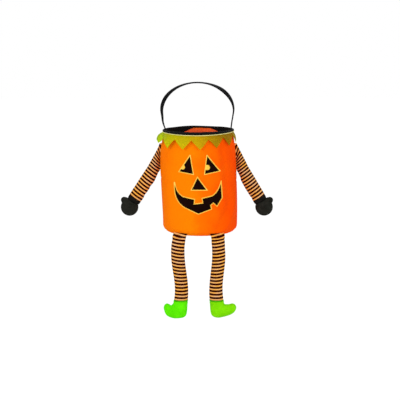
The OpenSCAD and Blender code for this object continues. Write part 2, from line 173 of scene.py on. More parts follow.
def wall_radius(z):
    """Outer radius of the wall at a height, swelling slowly from the rim to the belly."""
    if z >= neck_height:
        return rim_radius
    if z >= belly_height:
        return rim_radius + 0.0085 * (1 - ((z - belly_height) / 0.0985) ** 2.4)
    return 0.093 + 0.0015 * (1 - ((belly_height - z) / 0.126) ** 3)


def bell(distance, width):
    """A smooth hump of height one, gone at about twice its width."""
    return math.exp(-(distance / width) ** 2)


def ease(t):
    """A smooth rise from none to all as t goes from 0 to 1."""
    t = max(0, min(1, t))
    return t * t * (3 - 2 * t)


def fold(a, z):
    """How far the felt stands out from its even round, at an angle from the front and a height."""
    loose = ease((z - 0.004) / 0.05) * ease((0.246 - z) / 0.04)
    swell = 0.0010 * math.sin(4 * a - 0.8 + 5 * z) + 0.0006 * math.sin(9 * a - 1.3 - 11 * z)
    slant = 0.0024 * bell(a - 0.76 + 1.4 * z, 0.10) - 0.0020 * bell(a - 0.98 + 1.4 * z, 0.09)
    slant *= ease((z - 0.05) / 0.06)
    drape = 0.0036 * bell(a - 0.62 - 6.5 * z, 0.12) - 0.0030 * bell(a - 0.37 - 6 * z, 0.10)
    drape *= ease((z - 0.004) / 0.02) * ease((0.105 - z) / 0.05)
    level = -0.0010 * bell(z - 0.131 - 0.004 * math.sin(3 * a), 0.003)
    level *= ease((abs(a) - 0.62) / 0.25)
    upright = -0.0006 * bell(a + 0.24, 0.018) * ease((0.06 - z) / 0.04)
    pucker = 0.00035 * math.sin(41 * a) * math.exp(-max(0, z - 0.005) / 0.010)
    seam = -0.0012 * bell((abs(a) - math.pi / 2) * 0.095, 0.0022)
    return loose * (swell + slant + level) + drape + upright + pucker + seam


def hang(z):
    """How far the slack wall hangs over to the right at a height."""
    return 0.0045 * ease((0.21 - z) / 0.19)


def soften(bm):
    """Lays the folds and the slack into everything that follows the wall."""
    for v in bm.verts:
        out = math.hypot(v.co.x, v.co.y)
        grown = 1 + fold(math.atan2(v.co.x, -v.co.y), v.co.z) / out if out > 0.02 else 1
        v.co = (v.co.x * grown + hang(v.co.z), v.co.y * grown, v.co.z)


def corner(radius, degrees):
    """A point of the round corner between wall and base, in radius and height."""
    a = math.radians(degrees)
    return corner_centre + radius * math.cos(a), corner_round + radius * math.sin(a)


def in_seam(radius, side):
    """A point of the base seam, which runs in at half a right angle."""
    slant = math.sqrt(0.5)
    return corner_centre + (radius + side) * slant, corner_round + (side - radius) * slant


def turned(points, start, sweep, steps):
    """A profile of radius and height, spun about the bag's axis."""
    bm = bmesh.new()
    verts = [bm.verts.new((r * math.cos(start), r * math.sin(start), z)) for r, z in points]
    edges = [bm.edges.new(pair) for pair in zip(verts, verts[1:])]
    bmesh.ops.spin(bm, geom=verts + edges, cent=(0, 0, 0), axis=(0, 0, 1), angle=sweep, steps=steps,
                   use_merge=sweep > math.pi)
    bmesh.ops.remove_doubles(bm, verts=bm.verts, dist=1e-6)
    bmesh.ops.recalc_face_normals(bm, faces=bm.faces)
    return bm


def material_of(name):
    """A new material, with its node tree, its shader, and the place on the piece for its patterns."""
    made = bpy.data.materials.new(name)
    made.use_nodes = True
    tree = made.node_tree
    return made, tree, tree.nodes["Principled BSDF"], add(tree, "TexCoord").outputs["Object"]


def thicken(made, thickness, offset):
    """Felt, tape and net are drawn as one face of the cloth, and get their thickness here."""
    solid = made.modifiers.new("thickness", "SOLIDIFY")
    solid.thickness = thickness
    solid.offset = offset


# Orange needle felt: short fibres give a matt face with a faint sheen and an uneven dye. Its colour also
# carries
# painted shade: a little lighter left of the middle, darker and redder towards the right, as the light falls
# from the left. Its back, inside the bag, took less dye and is pinker. The fibres are drawn 1.2 mm wide,
# wider than real, so that they show.
felt, tree, shader, where = material_of("orange_needle_felt")
cloud = add(tree, "TexNoise", {"Vector": where, "Scale": 24, "Detail": 4, "Roughness": 0.55})
across = add(tree, "SeparateXYZ", {0: where})
# Painted light and shade across the bag: the colour is lighter a little left of the middle and turns darker
# and redder towards the right, as the light falls from the left.
painted_side_light = add(tree, "MapRange", {"Value": across.outputs["X"], "From Min": -0.095, "From Max": 0.095,
                               "To Min": 0.02, "To Max": 0.8})
tone = add(tree, "MapRange", {"Value": cloud.outputs["Fac"], "To Min": -0.16, "To Max": 0.16})
shade_and_dye_blend = reckon(tree, "ADD", painted_side_light.outputs["Result"], tone.outputs["Result"])
# The ramp's stops across the bag are painted shade; the noise adds the uneven dye.
dye_and_painted_shade = ramp(tree, shade_and_dye_blend, (0, "#FF7500"), (0.2, "#FF8000"), (0.33, "#FF8000"), (0.44, "#FF6F00"),
           (0.57, "#FF6400"), (0.66, "#FF5800"), (0.82, "#FF4B00"))
fibres_per_metre = 820
fibre = add(tree, "TexNoise", {"Vector": where, "Scale": fibres_per_metre, "Detail": 3, "Roughness": 0.7})
tufts = add(tree, "MapRange", {"Value": fibre.outputs["Fac"], "From Min": 0.3, "From Max": 0.7,
                               "To Min": 0.86, "To Max": 1.1})
facing = add(tree, "VectorMath", {0: add(tree, "TexCoord").outputs["Normal"], 1: where},
             operation="DOT_PRODUCT")
inside = reckon(tree, "LESS_THAN", facing.outputs["Value"], -0.02)
sides = add(tree, "Mix", {0: inside, 6: dye_and_painted_shade, 7: linear("#FF6E36")}, data_type="RGBA")
dyed_and_shaded = add(tree, "Mix", {0: 1.0, 6: sides.outputs[2], 7: tufts.outputs["Result"]}, data_type="RGBA",
           blend_type="MULTIPLY")
nap = add(tree, "Bump", {"Height": fibre.outputs["Fac"], "Strength": 0.35, "Distance": 0.0006})
rough = add(tree, "MapRange", {"Value": fibre.outputs["Fac"], "To Min": 0.7, "To Max": 0.95})
put(tree, shader, {"Base Color": dyed_and_shaded.outputs[2], "Roughness": rough.outputs["Result"],
                   "Normal": nap.outputs["Normal"], "Specular IOR Level": 0.02, "Sheen Weight": 0.02,
                   "Sheen Roughness": 0.5, "Sheen Tint": linear("#FFB060")})

row_count = 76
rows = [corner_round + 0.2317 * i / row_count for i in range(row_count + 1)]
wall_profile = [in_seam(0.0092, 0.0001), in_seam(0.0172, 0.0001), corner(0.0183, -42), corner(0.0188, -38)]
wall_profile += [corner(corner_round, a) for a in (-33, -27, -21, -15, -9, -4)]
wall_profile += [(wall_radius(z), z) for z in rows]
allowance = 0.0098
sleeve_height = 0.187
for name, start, toward, node in (
    ("wall_front", math.pi, -1, "front_panel"),
    ("wall_back", 0, 1, "back_panel"),
):
    bm = turned(wall_profile, start, math.pi, 120)
    edges = [e for e in bm.edges if e.is_boundary
             and all(abs(v.co.y) < 1e-6 and 0.021 < v.co.z < 0.218 for v in e.verts)]
    for v in bmesh.ops.extrude_edge_only(bm, edges=edges)["geom"]:
        if isinstance(v, bmesh.types.BMVert):
            v.co.x -= math.copysign(allowance, v.co.x)
    soften(bm)
    for v in bm.verts:
        if abs(v.co.y) < 1e-5:
            gap = 0.0001 if 0.026 < v.co.z < 0.213 else -0.0002
            slot = ease((0.036 - abs(v.co.z - sleeve_height)) / 0.004)
            v.co.y = toward * (gap + 0.0008 * slot)
    bmesh.ops.recalc_face_normals(bm, faces=bm.faces)
    half = piece(name, bm, felt)
    thicken(half, felt_thickness, -1)
    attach(half, "bag")
    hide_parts(node)


# Base: a round of the same felt, sewn to the wall half way round the corner, edges inside. The seam pulls
# small puckers into both pieces.
base_profile = [(0, 0)] + [(corner_centre * i / 12, 0) for i in range(1, 13)]
base_profile += [corner(corner_round, a) for a in (-84, -78, -71, -64, -58)]
base_profile += [corner(0.0188, -52), corner(0.0183, -48), in_seam(0.0172, -0.0001), in_seam(0.0092, -0.0001)]
bm = turned(base_profile, 0, 2 * math.pi, 240)
soften(bm)
base = piece("base_felt", bm, felt)
thicken(base, felt_thickness, -1)
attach(base, "bag")
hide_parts("base_panel")


# Stiffening board: a disc of grey pulp board that lies loose on the base felt inside the bag.
# Pulp board: pressed waste paper, matt, with darker flecks about 2 mm long.
board, tree, shader, where = material_of("grey_pulp_board")
fleck = add(tree, "TexNoise", {"Vector": where, "Scale": 480, "Detail": 4, "Roughness": 0.65})
tone = ramp(tree, fleck.outputs["Fac"], (0.3, "#8C8377"), (0.7, "#B8AE9E"))
grain = add(tree, "Bump", {"Height": fleck.outputs["Fac"], "Strength": 0.15, "Distance": 0.0003})
put(tree, shader, {"Base Color": tone, "Normal": grain.outputs["Normal"], "Roughness": 0.9})
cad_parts["base_board"].data.materials.clear()
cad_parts["base_board"].data.materials.append(board)


# Rim binding: black ribbed tape folded over the top edge of wall and collar, with the spring hoop in the
# fold. A row of thread along its lower edge holds it through all plies.
# Grosgrain: fine upright ribs 1.6 mm apart, drawn a little coarse, and only a weak gloss.
grosgrain, tree, shader, where = material_of("black_grosgrain")
apart = add(tree, "SeparateXYZ", {0: where})
angle = reckon(tree, "ARCTAN2", apart.outputs["Y"], apart.outputs["X"])
rib_count = 340
rib = reckon(tree, "SINE", reckon(tree, "MULTIPLY", angle, rib_count))
lint = add(tree, "TexNoise", {"Vector": where, "Scale": 300, "Detail": 4})
tone = ramp(tree, lint.outputs["Fac"], (0.35, "#090909"), (0.75, "#181716"))
weave = add(tree, "Bump", {"Height": rib, "Strength": 0.35, "Distance": 0.0003})
put(tree, shader, {"Base Color": tone, "Normal": weave.outputs["Normal"], "Roughness": 0.7,
                   "Specular IOR Level": 0.05})

tape_low, tape_top = 0.2464, 0.2548
outer_radius, inner_radius = 0.0883, 0.0832
fold_middle, fold_height, fold_round = 0.08575, 0.2523, 0.0025
fold_over = [(outer_radius, tape_low), (outer_radius, 0.249)]
fold_over += [(fold_middle + fold_round * math.cos(math.radians(a)),
               fold_height + fold_round * math.sin(math.radians(a))) for a in range(0, 181, 15)]
fold_over += [(inner_radius, z) for z in (0.2515, 0.2509, 0.2503, 0.2497)]


def lift(x):
    """How far the strap pulls the tape's lower edge up, most at the sides and more at the right."""
    return 0.001 + 0.003 * (x / rim_radius) ** 2 + 0.0007 * x / rim_radius


def taped(x, y, z):
    """Where a point of the even tape comes to lie.

    The tape is pulled up at the sides. Inside, it reaches deeper towards them: a black band of painted shade,
    put where the inside of the bag lies in shadow at the sides.
    """
    if math.hypot(x, y) > 0.0858:
        z += lift(x) * (tape_top - z) / 0.0084
    elif z < 0.2516:
        # Painted shade: the black tape inside is drawn deeper away from the middle, where the inside of the
        # bag is in shadow.
        z -= (0.2515 - z) * 7 * ease((abs(x - 0.010) - 0.016) / 0.042)
        grown = (wall_radius(z) - 0.0028) / inner_radius
        x, y = x * grown, y * grown
    z += 0.0004 * noise.noise((40 * x, 40 * y, 10)) + 0.0007 * x / rim_radius
    back_hump = 0.0014 * bell(x + 0.024, 0.035) if y > 0 else 0
    return Vector((x, y, z + back_hump))


bm = turned(fold_over, 0, 2 * math.pi, 240)
for v in bm.verts:
    v.co = taped(*v.co)
bmesh.ops.recalc_face_normals(bm, faces=bm.faces)
binding = piece("rim_tape", bm, grosgrain)
thicken(binding, 0.0009, -1)
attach(binding, "bag")
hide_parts("rim_binding")


def thread_of(name, colour):
    """Polyester thread: a smooth twisted yarn with a faint gloss, in the colour of what it holds."""
    made, tree, shader, where = material_of(name)
    twist = add(tree, "TexNoise", {"Vector": where, "Scale": 1500, "Detail": 1})
    groove = [c * 0.6 for c in linear(colour)[:3]] + [1]
    tone = ramp(tree, twist.outputs["Fac"], (0, groove), (1, colour))
    put(tree, shader, {"Base Color": tone, "Roughness": 0.5})
    return made


def even(points, step):
    """Points at even steps along a line through the given ones."""
    total = sum((q - p).length for p, q in zip(points, points[1:]))
    count = max(1, round(total / step))
    made, gone, k = [points[0]], 0, 0
    for i in range(1, count):
        far = total * i / count
        while gone + (points[k + 1] - points[k]).length < far:
            gone += (points[k + 1] - points[k]).length
            k += 1
        made.append(points[k].lerp(points[k + 1], (far - gone) / (points[k + 1] - points[k]).length))
    return made + [points[-1]]


def outward(p):
    """The way straight out from the bag's axis at a point."""
    return Vector((p.x, p.y, 0)).normalized()


def stitched(name, lines, step, out, material):
    """Rows of running stitch on the bag: a short rounded length of thread over each step of a line."""
    thread_radius = 0.0003
    bm = bmesh.new()
    for line in lines:
        for p, q in zip(line, line[1:]):
            lead, up = (q - p).normalized(), out(p)
            turn = Matrix((lead, up.cross(lead).normalized(), up)).transposed().to_4x4()
            shape = Matrix.Diagonal((0.33 * step, thread_radius, thread_radius, 1))
            place = Matrix.Translation((p + q) / 2) @ turn @ shape
            bmesh.ops.create_uvsphere(bm, u_segments=6, v_segments=5, radius=1, matrix=place)
    row = piece(name, bm, material)
    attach(row, "bag")


black_thread = thread_of("black_thread", "#3C3B3A")
rim_step, row_radius, row_height = 0.0035, 0.0884, 0.2478
line = [taped(row_radius * math.cos(a), row_radius * math.sin(a), row_height)
        for a in (2 * math.pi * i / 360 for i in range(361))]
stitched("rim_stitches", [even(line, rim_step)], rim_step, outward, black_thread)


# Spring hoop: a drawn plastic wire bent to a ring, which lies in the fold of the rim tape. The tape hides it.
# Nylon wire: milky, with a satin face and faint draw lines.
nylon, tree, shader, where = material_of("milky_nylon")
draw = add(tree, "TexNoise", {"Vector": where, "Scale": 200, "Detail": 2})
tone = ramp(tree, draw.outputs["Fac"], (0, "#D8D8D0"), (1, "#ECECE6"))
put(tree, shader, {"Base Color": tone, "Roughness": 0.4})
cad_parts["rim_hoop"].data.materials.clear()
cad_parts["rim_hoop"].data.materials.append(nylon)


# Collar: a strip of sheer green net cut into fourteen points and sewn under the rim tape. It stands off the
# wall like a short skirt, and no two points hang quite alike.
# Organza: a see-through net of fine stiff yarn, a little denser in patches. Its colour runs from lime at the
# left to mustard at the right, and the darkening towards the right is painted shade, as the light falls from
# the left.
# The yarns are drawn 1.8 mm apart, wider than real, so that they show.
organza, tree, shader, where = material_of("green_organza")
dense = add(tree, "TexNoise", {"Vector": where, "Scale": 90, "Detail": 3})
across = add(tree, "SeparateXYZ", {0: where})
# Painted shade across the net: its colour darkens from left to right, as the light falls from the left.
painted_side_light = add(tree, "MapRange", {"Value": across.outputs["X"], "From Min": -0.11, "From Max": 0.09,
                               "To Min": -0.1, "To Max": 0.9})
patchy = add(tree, "MapRange", {"Value": dense.outputs["Fac"], "To Max": 0.2})
shade_and_dye_blend = reckon(tree, "ADD", painted_side_light.outputs["Result"], patchy.outputs["Result"])
# The darker mustard stops towards the right are painted shade.
tone = ramp(tree, shade_and_dye_blend, (0.05, "#98C800"), (0.18, "#CEDC00"), (0.55, "#D4BC00"),
            (0.85, "#A28600"))
yarn_gap = 0.0018
yarns = []
for way in ("around", "down"):
    metres = add(tree, "Attribute", attribute_name=way).outputs["Fac"]
    phase = reckon(tree, "MULTIPLY", metres, 2 * math.pi / yarn_gap)
    yarns.append(reckon(tree, "SINE", phase))
net = reckon(tree, "MAXIMUM", *yarns)
weave = add(tree, "Bump", {"Height": net, "Strength": 0.25, "Distance": 0.0003})
open_share = add(tree, "MapRange", {"Value": net, "From Min": -1, "From Max": 1,
                                    "To Min": 0.68, "To Max": 0.42})
put(tree, shader, {"Base Color": tone, "Normal": weave.outputs["Normal"], "Roughness": 0.6,
                   "Specular IOR Level": 0.1})
sheer = add(tree, "BsdfTransparent", {"Color": linear("#F3F359")})
mixed = add(tree, "MixShader", {0: open_share.outputs["Result"], 1: shader.outputs[0],
                                2: sheer.outputs[0]})
tree.links.new(mixed.outputs[0], tree.nodes["Material Output"].inputs["Surface"])

points = 14
strip_length = 0.585
top_height, point_depth, hidden = 0.247, 0.035, 0.0035
bm = bmesh.new()
bmesh.ops.create_grid(bm, x_segments=points * 14, y_segments=16, size=0.5)
around = bm.verts.layers.float.new("around")
drop = bm.verts.layers.float.new("down")
for v in bm.verts:
    turn = v.co.x + 0.5
    down = 0.5 - v.co.y
    tooth = 1 - abs(2 * ((turn * points + 0.5) % 1) - 1)
    a = math.radians(2.8) + 2 * math.pi * turn
    a -= 2 * math.pi * (a > math.pi)
    side = math.sin(a)
    valley = 0.0125 - 0.0028 * ease(side / 0.6) + 0.0135 * bell(a + 1.52, 0.3)
    short = 1 - 0.08 * ease(side / 0.6) - 0.10 * ease((side - 0.7) / 0.3)
    short -= 0.19 * ease((-side - 0.85) / 0.12)
    depth = down * (valley + (point_depth - valley) * tooth) * short
    share = max(0, depth - hidden) / 0.0315
    each = noise.noise(Vector((3.1 * math.cos(a), 3.1 * side, 0.7)))
    wave = max(-0.0008, 0.0008 * math.sin(points * a * 0.5 + 1) + 0.0025 * each)
    close = bell(a + 1.15, 0.13)
    flare = (0.0122 - 0.0045 * side) * (1 - (1 - share) ** (3 - 1.2 * close))
    out = 0.0867 + flare + wave * share ** 2
    ruffle = 0.018 * max(0, -side) ** 3 * (1 - close) * share * (1 - share)
    a -= 0.055 * side * share
    v[around] = strip_length * abs((turn + 0.25) % 1 - 0.5)
    v[drop] = depth
    v.co = (out * math.sin(a), -out * math.cos(a), top_height - depth + lift(rim_radius * side) + ruffle)
bmesh.ops.remove_doubles(bm, verts=bm.verts, dist=1e-6)
bmesh.ops.recalc_face_normals(bm, faces=bm.faces)
collar = piece("collar_net", bm, organza)
thicken(collar, 0.0005, 1)
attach(collar, "bag")
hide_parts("collar")


# Piping: a thin pale yellow cord of three twisted strands, laid under the lower edge of the rim tape and
# held there by the tape's own stitches.
# Cotton cord: matt twisted yarn with darker grooves between the strands.
cotton, tree, shader, where = material_of("yellow_cotton_cord")
lint = add(tree, "TexNoise", {"Vector": where, "Scale": 700, "Detail": 3})
tone = ramp(tree, lint.outputs["Fac"], (0, "#EAE27A"), (1, "#FBF7B8"))
put(tree, shader, {"Base Color": tone, "Roughness": 0.85, "Specular IOR Level": 0.2})


def grown_from(bm, edges):
    """The points and the edges of a new ring, extruded from a ring of edges."""
    grown = bmesh.ops.extrude_edge_only(bm, edges=edges)["geom"]
    ring = [g for g in grown if isinstance(g, bmesh.types.BMVert)]
    return ring, [g for g in grown if isinstance(g, bmesh.types.BMEdge) and all(v in ring for v in g.verts)]


cord_radius, cord_sides, strands = 0.0007, 12, 3
piping_radius, piping_height = 0.0881, 0.2455
steps, sectors, twists = 1200, 24, 4
sector = steps // sectors
bm = bmesh.new()
ring = bmesh.ops.create_circle(bm, segments=cord_sides, radius=cord_radius)["verts"]
for i, v in enumerate(ring):
    v.co *= 1 + 0.28 * math.cos(strands * 2 * math.pi * i / cord_sides)
bmesh.ops.rotate(bm, cent=(0, 0, 0), matrix=Matrix.Rotation(math.pi / 2, 3, "X"), verts=ring)
bmesh.ops.translate(bm, vec=(piping_radius, 0, piping_height), verts=ring)
edges = bm.edges[:]
for i in range(sector):
    ring, edges = grown_from(bm, edges)
    a = 2 * math.pi * i / steps
    centre = Vector((piping_radius * math.cos(a), piping_radius * math.sin(a), piping_height))
    twist = Matrix.Rotation(2 * math.pi * twists / sector, 3, Vector((-math.sin(a), math.cos(a), 0)))
    bmesh.ops.rotate(bm, cent=centre, matrix=twist, verts=ring)
    bmesh.ops.rotate(bm, cent=(0, 0, 0), matrix=Matrix.Rotation(2 * math.pi / steps, 3, "Z"), verts=ring)
bmesh.ops.spin(bm, geom=bm.verts[:] + bm.edges[:] + bm.faces[:], cent=(0, 0, 0), axis=(0, 0, 1),
               angle=2 * math.pi * (sectors - 1) / sectors, steps=sectors - 1, use_duplicate=True)
bmesh.ops.remove_doubles(bm, verts=bm.verts, dist=2e-5)
for v in bm.verts:
    v.co.z += lift(v.co.x)
bmesh.ops.recalc_face_normals(bm, faces=bm.faces)
piping = piece("piping_cord", bm, cotton)
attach(piping, "bag")
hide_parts("collar_piping")


# Face: black felt patches glued and sewn on slightly larger yellow felt, which shows as an outline. The
# pieces are cut flat and lie on the round wall.
def felt_of(name, dark, light, rough=0.92, gloss=0.05):
    """Pressed or brushed fibre cloth: quite matt, its fibres drawn 1.2 mm wide so that they show."""
    made, tree, shader, where = material_of(name)
    cloud = add(tree, "TexNoise", {"Vector": where, "Scale": 60, "Detail": 6, "Roughness": 0.7})
    tone = ramp(tree, cloud.outputs["Fac"], (0.3, dark), (0.7, light))
    fibre = add(tree, "TexNoise", {"Vector": where, "Scale": fibres_per_metre, "Detail": 3, "Roughness": 0.7})
    nap = add(tree, "Bump", {"Height": fibre.outputs["Fac"], "Strength": 0.25, "Distance": 0.0005})
    put(tree, shader, {"Base Color": tone, "Normal": nap.outputs["Normal"], "Roughness": rough,
                       "Specular IOR Level": gloss})
    return made


# Craft felt: flat pressed fibres with a clean cut edge, bright and matt. The black is pressed smoother than
# the yellow, and its dye leaves hardly any gloss.
yellow_felt = felt_of("yellow_craft_felt", "#FFBE38", "#FFD25C")
black_felt = felt_of("black_craft_felt", "#0E0201", "#1C0704", rough=0.55, gloss=0.02)


def bend(a, b, c, steps=8):
    """A curve from a to c, drawn towards b, without its last point."""
    a, b, c = Vector(a), Vector(b), Vector(c)
    return [(1 - t) ** 2 * a + 2 * t * (1 - t) * b + t * t * c for t in (i / steps for i in range(steps))]


def bitten(outline, edge, centre, radius):
    """The outline with a round bite into one of its edges, where a pupil shows."""
    a, b, centre = Vector(outline[edge]), Vector(outline[(edge + 1) % len(outline)]), Vector(centre)
    run = (b - a).normalized()
    depth = run.cross(centre - a)
    first = -run * math.sqrt(radius ** 2 - depth ** 2) - Vector((-run.y, run.x)) * depth
    turn = math.pi + 2 * math.asin(depth / radius)
    arc = [centre + Matrix.Rotation(-turn * i / 16, 2) @ first for i in range(17)]
    return outline[:edge + 1] + arc + outline[edge + 1:]


def widened(outline, by, tip):
    """The outline moved out by a width, with its pointed corners cut off a little past the old ones."""
    n = len(outline)
    points = [Vector(p) for p in outline]
    area = sum(points[i].cross(points[(i + 1) % n]) for i in range(n))
    made = []
    for i in range(n):
        before = (points[i] - points[i - 1]).normalized()
        after = (points[(i + 1) % n] - points[i]).normalized()
        out_a = Vector((before.y, -before.x)) * math.copysign(1, area)
        out_b = Vector((after.y, -after.x)) * math.copysign(1, area)
        mid = (out_a + out_b).normalized()
        reach = by / max(0.05, mid.dot(out_a))
        if reach > tip and before.cross(after) * area > 0:
            side = Vector((-mid.y, mid.x)) * math.copysign(1, area)
            slack = (reach - tip) * mid.dot(out_a) / math.sqrt(1 - mid.dot(out_a) ** 2)
            made += [points[i] + mid * tip - side * slack, points[i] + mid * tip + side * slack]
        else:
            made.append(points[i] + mid * reach)
    return made


def on_wall(x, z, off):
    """The point of the wall at an x and a height, lifted off by a little."""
    across = x - hang(z)
    out = wall_radius(z) + off
    out += fold(math.asin(across / out), z)
    return Vector((x, -math.sqrt(out ** 2 - across ** 2), z))


def rounded(made, name, width):
    """Takes the sharpness off a cut or woven edge."""
    edge = made.modifiers.new(name, "BEVEL")
    edge.width = width
    edge.segments = 2
    edge.angle_limit = math.radians(50)


nose_height = 0.145


def patch(name, outline, off, material):
    """A piece of felt cut to an outline in millimetres from the top of the nose, and laid on the wall."""
    grid = 0.004
    bm = bmesh.new()
    bm.faces.new([bm.verts.new((p[0] / 1000, 0, nose_height + p[1] / 1000)) for p in outline])
    bm.normal_update()
    bmesh.ops.triangulate(bm, faces=bm.faces, ngon_method="EAR_CLIP")
    for axis, span in ((Vector((1, 0, 0)), 0.062), (Vector((0, 0, 1)), 0.092)):
        middle = Vector((0, 0, 0.13)) if axis.z else Vector((0, 0, 0))
        for i in range(int(2 * span / grid) + 1):
            bmesh.ops.bisect_plane(bm, geom=bm.verts[:] + bm.edges[:] + bm.faces[:], dist=1e-7,
                                   plane_co=middle + axis * (i * grid - span), plane_no=axis)
    bmesh.ops.remove_doubles(bm, verts=bm.verts, dist=0.0001)
    bmesh.ops.dissolve_degenerate(bm, edges=bm.edges, dist=0.0001)
    for v in bm.verts:
        v.co = on_wall(v.co.x, v.co.z, off)
    bmesh.ops.recalc_face_normals(bm, faces=bm.faces)
    if sum(f.normal.y for f in bm.faces) > 0:
        bmesh.ops.reverse_faces(bm, faces=bm.faces)
    made = piece(name, bm, material)
    thicken(made, 0.0009, 1)
    rounded(made, "cut_edge", 0.00025)
    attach(made, "bag")
    return made


yellow_thread = thread_of("yellow_thread", "#F0A828")
border, seam_in, face_step = 2.4, 1.3, 0.0032
left_eye = [(-20, 52), (-44.5, 15), (-13, 10.5)]
right_eye = [(21.5, 52), (16.5, 10.5), (50, 17)]
nose = [(-1.7, 0), (-15, -28), (19, -28)]
mouth = bend((-56.3, -21), (-53, -38.5), (-38, -47))
mouth += [(-38, -47), (-10, -52.5), (-11.5, -64.5), (12.5, -61.5), (10.5, -50)]
mouth += bend((33, -44.8), (47.5, -38), (54, -16.5))
mouth += [(54, -16.5), (56.5, -49), (45, -67.5), (36.5, -59), (28.5, -65.5), (30.5, -75), (0.5, -86.3)]
mouth += bend((-24, -75), (-57, -64), (-56.3, -21))
for name, outline, black, tip in (
    ("left_eye", left_eye, bitten(left_eye, 0, (-37.5, 26), 6.2), 3.6),
    ("right_eye", right_eye, bitten(right_eye, 0, (21.5, 25.7), 6.6), 3.6),
    ("nose", nose, nose, 5),
    ("mouth", mouth, mouth, 9),
):
    under = patch(name + "_yellow", widened(outline, border, tip), 0.0002, yellow_felt)
    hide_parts(name + "_border")
    over = patch(name + "_black", black, 0.0012, black_felt)
    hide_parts(name)
    edge = widened(outline, seam_in, 2.5)
    line = [on_wall(p[0] / 1000, nose_height + p[1] / 1000, 0.0011) for p in edge + edge[:1]]
    stitched(name + "_stitches", [even(line, face_step)], face_step, outward, yellow_thread)


# Strap: one length of black webbing, sewn flat inside the wall at both ends and arched above the rim. It
# is carried by the top of the arch and twists a little on both shoulders, so that its face shows.
# Polypropylene webbing: coarse slanting ribs across the strap every 2 mm, quite matt and nearly black.
webbing, tree, shader, where = material_of("black_webbing")
length = add(tree, "Attribute", attribute_name="run").outputs["Fac"]
width = add(tree, "Attribute", attribute_name="across").outputs["Fac"]
rib_gap, rib_slant = 0.002, 0.004
rows_at = reckon(tree, "MULTIPLY", length, 2 * math.pi / rib_gap)
slope = reckon(tree, "MULTIPLY", width, 2 * math.pi / rib_slant)
rib = reckon(tree, "SINE", reckon(tree, "ADD", rows_at, slope))
weave = add(tree, "Bump", {"Height": rib, "Strength": 0.4, "Distance": 0.0004})
lint = add(tree, "TexNoise", {"Vector": where, "Scale": 160, "Detail": 4})
tone = ramp(tree, lint.outputs["Fac"], (0, "#040405"), (1, "#0F0F10"))
put(tree, shader, {"Base Color": tone, "Normal": weave.outputs["Normal"], "Roughness": 0.65,
                   "Specular IOR Level": 0.01})

strap_width, strap_thickness = 0.02, 0.0022
half_line = [(0.0862, 0.2205), (0.0846, 0.229), (0.0830, 0.238), (0.0816, 0.2465), (0.0812, 0.256),
             (0.0822, 0.265), (0.0838, 0.274), (0.0862, 0.286)]
arch_height, arch_half_width, arch_rise = 0.301, 0.0882, 0.0682
half_line += [(arch_half_width * math.cos(math.radians(a)),
               arch_height + arch_rise * math.sin(math.radians(a))) for a in range(0, 91, 10)]
line = [Vector((x, 0, z)) for x, z in half_line]
line += [Vector((-p.x, 0, p.z)) for p in reversed(line[:-1])]


def between(a, b, c, d, t):
    """The point at share t of the way from b to c, on a smooth curve that comes from a and goes on to d."""
    return 0.5 * (2 * b + t * (c - a) + t * t * (2 * a - 5 * b + 4 * c - d)
                  + t ** 3 * (3 * b - a - 3 * c + d))


def smooth_line(points, step):
    """Points at even steps along a smooth curve through the given ones."""
    dense, last = [], len(points) - 1
    for i in range(last):
        four = points[max(0, i - 1)], points[i], points[i + 1], points[min(last, i + 2)]
        dense += [between(*four, k / 12) for k in range(12)]
    return even(dense + [points[-1]], step)


for p in line:
    p.x -= 0.002 * ease((p.z - 0.256) / 0.03) * (1 - 0.5 * max(0, p.x) / 0.088)
    if p.x < 0:
        p.x -= 0.003 * bell(p.z - 0.269, 0.013)
line = smooth_line(line, 0.002)
strap_length = sum((q - p).length for p, q in zip(line, line[1:]))
last = len(line) - 1
bm = bmesh.new()
bmesh.ops.create_grid(bm, x_segments=last, y_segments=10, size=0.5)
run = bm.verts.layers.float.new("run")
across = bm.verts.layers.float.new("across")
for v in bm.verts:
    i = round((v.co.x + 0.5) * last)
    share = i / last
    lead = (line[min(i + 1, last)] - line[max(i - 1, 0)]).normalized()
    up = 1 - abs(2 * share - 1)
    turn = 15 * bell(up - 0.63, 0.17) if share < 0.5 else 16.5 * bell(up - 0.51, 0.21)
    turn += 6 * ease((up - 0.12) / 0.08) - 4 * ease((up - 0.7) / 0.25)
    side = Matrix.Rotation(math.radians(-turn), 3, lead) @ Vector((0, 1, 0))
    v[run] = share * strap_length
    v[across] = v.co.y * strap_width
    v.co = line[i] + side * v.co.y * strap_width
bmesh.ops.recalc_face_normals(bm, faces=bm.faces)
strap = piece("strap", bm, webbing)
thicken(strap, strap_thickness, 0)
rounded(strap, "selvedge", 0.0005)
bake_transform(strap)
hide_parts("handle_strap", "left_strap_end", "right_strap_end")

# A square of stitches with a cross in it, drawn in millimetres, holds each strap end to the wall.
box_step, box_height = 0.003, 0.2225
box = (((-7, 0), (7, 0)), ((7, 0), (7, 16)), ((7, 16), (-7, 16)), ((-7, 16), (-7, 0)),
       ((-7, 0), (7, 16)), ((7, 0), (-7, 16)))
for side, end, way in (("right", line[:11], -1), ("left", line[-11:], 1)):
    rows = []
    for ends in box:
        row = []
        for y, z in ends:
            near = min(end, key=lambda p: abs(p.z - box_height - z / 1000))
            row.append(Vector((near.x + way * 0.0012, y / 1000, near.z)))
        rows.append(even(row, box_step))
    stitched("strap_stitches_" + side, rows, box_step, lambda p: Vector((way, 0, 0)), black_thread)


